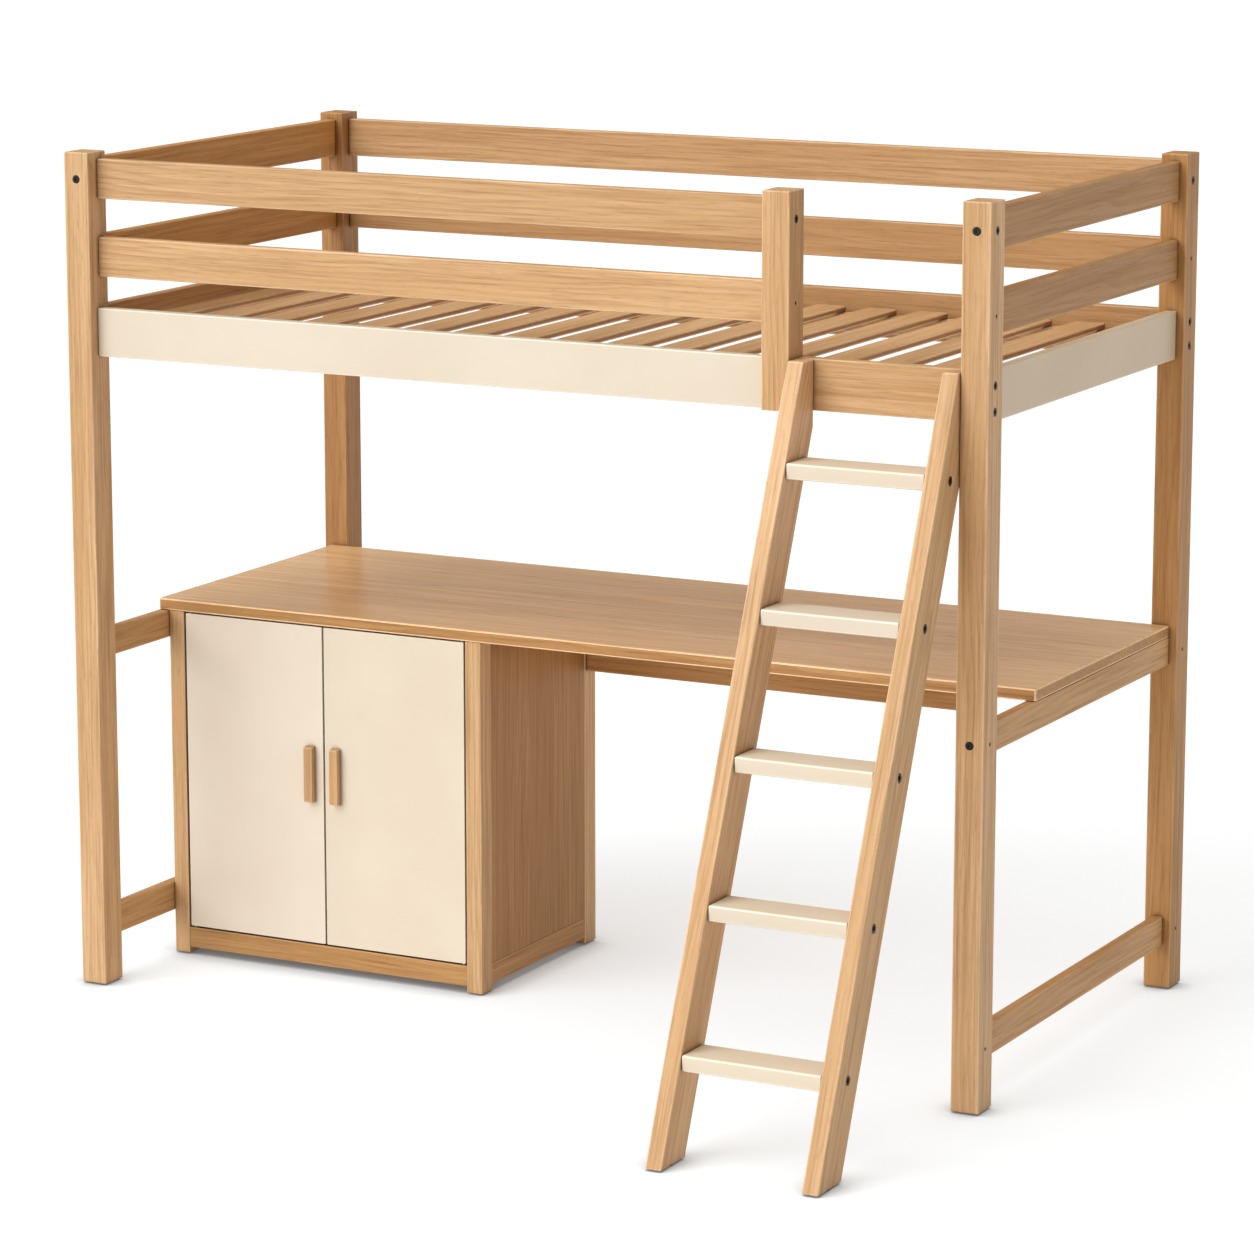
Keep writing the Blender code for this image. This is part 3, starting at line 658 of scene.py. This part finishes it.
# ---- the bed frame -----------------------------------------------------------
def make_posts():
    """Four tall posts and the gate post, with their bolts and glides."""
    left_rows = ("guard_upper",)
    right_rows = ("guard_upper", "desk")
    corners = (
        ("post_front_left", -1, -1, oak_pair(0), left_rows),
        ("post_front_right", 1, -1, oak_pair(3), right_rows),
        # the back posts take shaded tones: painted shade
        ("post_back_left", -1, 1, shaded_pair(2), left_rows),
        ("post_back_right", 1, 1, shaded_pair(0), right_rows),
    )
    for node, x_out, y_out, pair, end_rows in corners:
        post = board("oak_" + node, node, "z", pair, lift=GLIDE_HEIGHT)
        low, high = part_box(node)
        middle = (low + high) / 2
        side_x = high.x if x_out > 0 else low.x
        end_y = high.y if y_out > 0 else low.y
        spots = []
        for z, radius in BOLT_ROWS.values():
            spots.append((radius, (side_x, middle.y, z), (x_out, 0, 0)))
        for row in end_rows:
            spots.append((BOLT_LARGE, (middle.x, end_y, BOLT_ROWS[row][0]), (0, y_out, 0)))
        add_bolts(post, spots)
        add_glide("glide_" + node, middle.x, middle.y, GLIDE_RADIUS)

    gate = board("oak_post_gate", "post_gate", "z", oak_pair(2))
    low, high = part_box("post_gate")
    spots = []
    for row in ("guard_upper", "guard_lower"):
        z, radius = BOLT_ROWS[row]
        spots.append((radius, (high.x, (low.y + high.y) / 2, z), (1, 0, 0)))
    add_bolts(gate, spots)


def make_rails():
    """Guard rails, the rail behind the ladder and the four painted bed rails."""
    index = 1
    for side, grain in (("front", "x"), ("back", "x"), ("left", "y"), ("right", "y")):
        for row in ("upper", "lower"):
            node = "guard_" + side + "_" + row
            # the end guards take shaded tones: painted shade on their side faces
            shaded_index = {"left": 3, "right": 2}.get(side)
            pair = oak_pair(index) if shaded_index is None else shaded_pair(shaded_index)
            board("oak_" + node, node, grain, pair)
            index += 1
    board("oak_bed_rail_gate", "bed_rail_gate", "x", (OAK_GLUED, OAK_EDGES[3]))
    front = (CREAMS[0], OAKS[4], CREAM_EDGES[0])
    two_tone_rail("front", "x", front, (0, 1, 0))
    # the right rail's darker cream and shaded oak inside, and the left rail's shaded oak, are
    # painted shade
    right = (CREAMS[2], SHADED_OAKS[1], CREAM_EDGES[2])
    two_tone_rail("right", "y", right, (-1, 0, 0))
    back = (OAKS[4], CREAMS[1], OAK_EDGES[4])
    two_tone_rail("back", "x", back, (0, 1, 0))
    left = (SHADED_OAKS[1], CREAMS[1], SHADED_EDGES[1])
    two_tone_rail("left", "y", left, (-1, 0, 0))


def two_tone_rail(side, grain, materials, facing):
    """A bed rail whose face that looks one way has the second material."""
    node = "bed_rail_" + side
    rail = board("two_tone_" + node, node, grain, materials)
    turn = rail.rotation_euler.to_matrix()
    for face in rail.data.polygons:
        if (turn @ face.normal).dot(Vector(facing)) > 0.9:
            face.material_index = 1


def make_slats():
    """Loose slats of mixed boards, on two webbing straps, between two ledges."""
    low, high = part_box("slat_base")
    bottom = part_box("slat_ledge_front")[1].z + GAP
    pitch = (high.x - low.x - SLAT_WIDTH) / (SLAT_COUNT - 1)
    draw = random.Random(5)
    for index in range(SLAT_COUNT):
        size = (high.y - low.y - 2 * SLAT_END_GAP, SLAT_WIDTH, high.z - bottom)
        order = draw.randrange(OAK_COUNT)
        slat = new_object("slat_" + str(index + 1), box_shape(size), OAKS[order],
                          SHADED_OAKS[2], OAK_EDGES[order])
        # the sides and undersides take a darker shaded copy of the oak: painted shade
        for face in slat.data.polygons:
            if face.normal.z < 0.5:
                face.material_index = 1
        slat.rotation_euler = TURNS["y"]
        slat.location = (low.x + SLAT_WIDTH / 2 + index * pitch, (low.y + high.y) / 2,
                         (bottom + high.z) / 2)
        soften(slat, SLAT_ROUND, edge_slot=2)
        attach(slat, FRAME)
        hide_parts("slat_base")
    for side, y in (("front", low.y + STRAP_INSET), ("back", high.y - STRAP_INSET)):
        make_strap("slat_strap_" + side, low.x, high.x, y, bottom, pitch)
    board("oak_slat_ledge_front", "slat_ledge_front", "x", oak_pair(4))
    board("oak_slat_ledge_back", "slat_ledge_back", "x", oak_pair(6))


def make_strap(name, start_x, end_x, y, top_z, pitch):
    """Webbing stapled under the slats, which sags a little in every gap."""
    count = int((end_x - start_x - 2 * STRAP_END) / STRAP_STEP)
    shape = bmesh.new()
    rows = []
    for index in range(count + 1):
        x = start_x + STRAP_END + index * STRAP_STEP
        place = (x - start_x) % pitch
        drop = 0.0
        if place > SLAT_WIDTH:
            across = (place - SLAT_WIDTH) / (pitch - SLAT_WIDTH)
            drop = STRAP_SAG * math.sin(math.pi * across)
        top = top_z - STRAP_GAP - drop
        under = top - STRAP_THICK
        row = []
        for side, z in ((-1, top), (1, top), (1, under), (-1, under)):
            row.append(shape.verts.new((x, y + side * STRAP_WIDTH / 2, z)))
        rows.append(row)
    for first, second in zip(rows, rows[1:]):
        for corner in range(4):
            after = (corner + 1) % 4
            shape.faces.new((first[corner], first[after], second[after], second[corner]))
    shape.faces.new(rows[0])
    shape.faces.new(list(reversed(rows[-1])))
    bmesh.ops.recalc_face_normals(shape, faces=shape.faces)
    strap = new_object(name, shape, WEBBING)
    smooth_below(strap, 50)
    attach(strap, FRAME)
    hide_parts("slat_base")


# ---- the desk ----------------------------------------------------------------
def make_desk():
    """A desktop of glued staves on two end rails, with the stretchers and the apron."""
    desktop = board("oak_desktop", "desktop", "x",
                    (OAK_STAVES, SHADED_OAKS[0], OAK_STAVE_EDGE), radius=0.003)
    # the sides take a darker shaded copy and the top the lightened staves: painted shade and
    # painted light
    for face in desktop.data.polygons:
        if abs(face.normal.z) < 0.5:
            face.material_index = 1
    make_apron()
    for side in ("left", "right"):
        # the end rails and stretchers take shaded tones: painted shade
        board("oak_desk_rail_" + side, "desk_rail_" + side, "y", shaded_pair(1))
        board("oak_stretcher_" + side, "stretcher_" + side, "y", shaded_pair(1))


def make_apron():
    """The deep rear apron, cut shallower where it meets the end rail."""
    low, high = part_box("desk_apron")
    middle = (low + high) / 2
    end_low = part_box("desk_rail_right")[0].z
    outline = (
        (low.x, low.z),
        (APRON_SHOULDER, low.z),
        (APRON_SHOULDER + APRON_SLOPE_X, end_low),
        (high.x, end_low),
        (high.x, high.z),
        (low.x, high.z),
    )
    corners = [(x - middle.x, z - middle.z) for x, z in outline]
    shape = prism(corners, (low.y - middle.y, high.y - middle.y), "y")
    # the apron takes a shaded tone: painted shade
    apron = new_object("oak_desk_apron", shape, *shaded_pair(0))
    apron.location = middle
    soften(apron, edge_slot=1)
    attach(apron, FRAME)
    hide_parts("desk_apron")


# ---- the ladder --------------------------------------------------------------
def ladder_lines():
    """Slope and foot positions of the stiles' front and back faces, from the rungs."""
    first_low, first_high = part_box("ladder_rung_1")
    last_low, last_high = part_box("ladder_rung_" + str(RUNG_COUNT))
    slope = (last_low.y - first_low.y) / (last_high.z - first_high.z)
    front = first_low.y - slope * first_high.z
    back = first_high.y - slope * first_low.z
    return slope, front, back


def make_stile(node, outward, index):
    """A leaning stile, cut level at both ends and upright where it meets the rail."""
    slope, front, back = ladder_lines()
    low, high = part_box(node)
    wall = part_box("bed_rail_gate")[0].y - GAP
    outline = (
        (front + slope * GLIDE_HEIGHT, GLIDE_HEIGHT),
        (back + slope * GLIDE_HEIGHT, GLIDE_HEIGHT),
        (wall, (wall - back) / slope),
        (wall, high.z),
        (front + slope * high.z, high.z),
    )
    lean = math.atan(slope)
    turn = Matrix.Rotation(-lean, 3, "X") @ TURNS["z"].to_matrix()
    pivot = Vector(((low.x + high.x) / 2, front, 0))
    half = (high.x - low.x) / 2
    corners = [(y - front, z) for y, z in outline]
    shape = prism(corners, (-half, half), "x", turn.transposed())
    stile = new_object("oak_" + node, shape, *oak_pair(index))
    stile.rotation_euler = turn.to_euler()
    stile.location = pivot
    soften(stile, 0.003, edge_slot=1)
    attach(stile, FRAME)
    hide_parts(node)
    spots = []
    side_x = high.x if outward > 0 else low.x
    for number in range(1, RUNG_COUNT + 1):
        z = middle_z("ladder_rung_" + str(number))
        y = (front + back) / 2 + slope * z
        spots.append((BOLT_LADDER, (side_x, y, z), (outward, 0, 0)))
    add_bolts(stile, spots)
    add_glide("glide_" + node, pivot.x, (front + back) / 2 + GLIDE_SHIFT_LADDER,
              GLIDE_RADIUS_LADDER)


def make_ladder():
    make_stile("ladder_stile_left", -1, 7)
    make_stile("ladder_stile_right", 1, 0)
    for number in range(1, RUNG_COUNT + 1):
        node = "ladder_rung_" + str(number)
        pair = (CREAMS[number % 2], CREAM_EDGES[number % 2])
        board("painted_" + node, node, "x", pair, radius=0.0035)


# ---- the cabinet -------------------------------------------------------------
def make_cabinet():
    """The cabinet's carcass and its shelf."""
    corners = ("front_left", "front_right", "back_left", "back_right")
    for index, corner in enumerate(corners):
        node = "cabinet_post_" + corner
        board("oak_" + node, node, "z", oak_pair(index), radius=0.0018,
              lift=GLIDE_HEIGHT)
        low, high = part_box(node)
        add_glide("glide_" + node, (low.x + high.x) / 2, (low.y + high.y) / 2,
                  GLIDE_RADIUS_CABINET)
    for side in ("left", "right"):
        board("oak_cabinet_side_" + side, "cabinet_side_" + side, "z",
              (OAK_PANEL, OAK_PANEL), radius=0.0008)
        # the side base rails take a shaded tone: painted shade
        board("oak_cabinet_base_" + side, "cabinet_base_" + side, "y", shaded_pair(0),
              radius=0.0012)
        board("oak_shelf_batten_" + side, "shelf_batten_" + side, "y", oak_pair(2),
              radius=0.0015)
    # the front base rail takes a shaded tone: painted shade
    board("oak_cabinet_base_front", "cabinet_base_front", "x", shaded_pair(0), radius=0.0015)
    board("oak_cabinet_base_back", "cabinet_base_back", "x", oak_pair(5), radius=0.0015)
    board("oak_cabinet_top_rail", "cabinet_top_rail", "x", oak_pair(8), radius=0.0015)
    board("oak_cabinet_back_panel", "cabinet_back_panel", "z", (OAK_PANEL, OAK_PANEL),
          radius=0.0008)
    board("oak_cabinet_bottom", "cabinet_bottom", "x", (OAK_STAVES, OAK_STAVE_EDGE),
          radius=0.001)
    board("oak_cabinet_shelf", "cabinet_shelf", "x", (OAK_STAVES, OAK_STAVE_EDGE),
          radius=0.001)


def make_handle(side, body):
    """A chamfered hardwood bar, screwed on from behind the door."""
    node = "door_" + side + "_handle"
    low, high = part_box(node)
    size = high - low
    shape = box_shape((size.z, size.y, size.x))
    for vert in shape.verts:
        if vert.co.y < 0:
            vert.co.x -= math.copysign(HANDLE_TAPER, vert.co.x)
    bar = new_object("oak_" + node, shape, *oak_pair(4 if side == "left" else 6))
    bar.rotation_euler = TURNS["z"]
    bar.location = (low + high) / 2
    soften(bar, 0.0022, segments=2, edge_slot=1)
    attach(bar, body)
    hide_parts(node)


def make_catch(side, body):
    """A magnetic catch with two steel pole pieces, and its plate on the door."""
    node = "door_catch_" + side
    low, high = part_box(node)
    middle = (low + high) / 2
    board("catch_" + side, node, "x", (WHITE_PLASTIC, WHITE_PLASTIC), radius=0.001)
    poles = bmesh.new()
    for offset in (-POLE_SPREAD, POLE_SPREAD):
        place = Matrix.Translation((middle.x + offset, low.y + POLE_MIDDLE, middle.z))
        bmesh.ops.create_cube(poles, size=1.0,
                              matrix=place @ Matrix.Diagonal((*POLE_SIZE, 1)))
    pole_piece = new_object("catch_poles_" + side, poles, STEEL)
    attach(pole_piece, FRAME)

    door_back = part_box("door_" + side)[1].y
    plate = new_object("catch_plate_" + side, box_shape(PLATE_SIZE), STEEL)
    plate.location = (middle.x, door_back - PLATE_SUNK, middle.z)
    soften(plate, 0.0004, segments=2)
    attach(plate, body)


def make_doors():
    """Two painted doors on steel pivots, with their handles and catches."""
    # the left door takes the lighter fourth cream tone: painted light
    for index, side in ((3, "left"), (1, "right")):
        body = "door_" + side
        board("painted_door_" + side, "door_" + side, "z",
              (CREAMS[index], CREAM_EDGES[index]), radius=0.0016, body=body)
        make_handle(side, body)
        make_catch(side, body)
        for end in ("top", "bottom"):
            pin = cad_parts["door_" + side + "_pivot_" + end]
            pin.data.materials.clear()
            pin.data.materials.append(STEEL)


# ---- studio ------------------------------------------------------------------
def make_studio():
    """A pale floor, soft surroundings and one broad light from the front left."""
    shape = bmesh.new()
    bmesh.ops.create_grid(shape, x_segments=8, y_segments=8, size=FLOOR_HALF)
    floor = new_object("floor", shape, floor_material())

    world = bpy.data.worlds.new("studio")
    bpy.context.scene.world = world
    world.use_nodes = True
    tree = world.node_tree
    direction = tree.nodes.new("ShaderNodeTexCoord")
    parts = tree.nodes.new("ShaderNodeSeparateXYZ")
    sky = tree.nodes.new("ShaderNodeValToRGB")
    tree.links.new(direction.outputs["Generated"], parts.inputs[0])
    tree.links.new(parts.outputs["Z"], sky.inputs["Fac"])
    tree.links.new(sky.outputs["Color"], tree.nodes["Background"].inputs["Color"])
    sky.color_ramp.elements[0].position = SKY[0][0]
    sky.color_ramp.elements[1].position = SKY[-1][0]
    for position, level in SKY[1:-1]:
        sky.color_ramp.elements.new(position)
    for element, (position, level) in zip(sky.color_ramp.elements, SKY):
        tint = (1.0, 1.0, 1.0) if position == 0.0 else SKY_TINT
        element.color = (*(level * channel for channel in tint), 1)

    key = bpy.data.lights.new("key", "SUN")
    key.energy = KEY_STRENGTH
    key.angle = KEY_ANGLE
    key.color = KEY_COLOUR
    key_object = bpy.data.objects.new("key", key)
    bpy.context.scene.collection.objects.link(key_object)
    key_object.rotation_euler = Vector(KEY_FROM).to_track_quat("Z", "Y").to_euler()

    bpy.context.scene.view_settings.view_transform = "Standard"


def make_camera():
    """A long lens, aimed from the front right and a little above."""
    back = Vector((math.sin(CAMERA_AZIMUTH) * math.cos(CAMERA_ELEVATION),
                   -math.cos(CAMERA_AZIMUTH) * math.cos(CAMERA_ELEVATION),
                   math.sin(CAMERA_ELEVATION)))
    camera = bpy.data.objects.new("camera", bpy.data.cameras.new("camera"))
    bpy.context.scene.collection.objects.link(camera)
    camera.location = CAMERA_TARGET + back * CAMERA_DISTANCE
    camera.rotation_euler = back.to_track_quat("Z", "Y").to_euler()
    camera.data.lens = CAMERA_LENS
    camera.data.sensor_width = CAMERA_SENSOR
    camera.data.clip_end = 200
    bpy.context.scene.camera = camera


make_posts()
make_rails()
make_slats()
make_desk()
make_ladder()
make_cabinet()
make_doors()
make_studio()
make_camera()
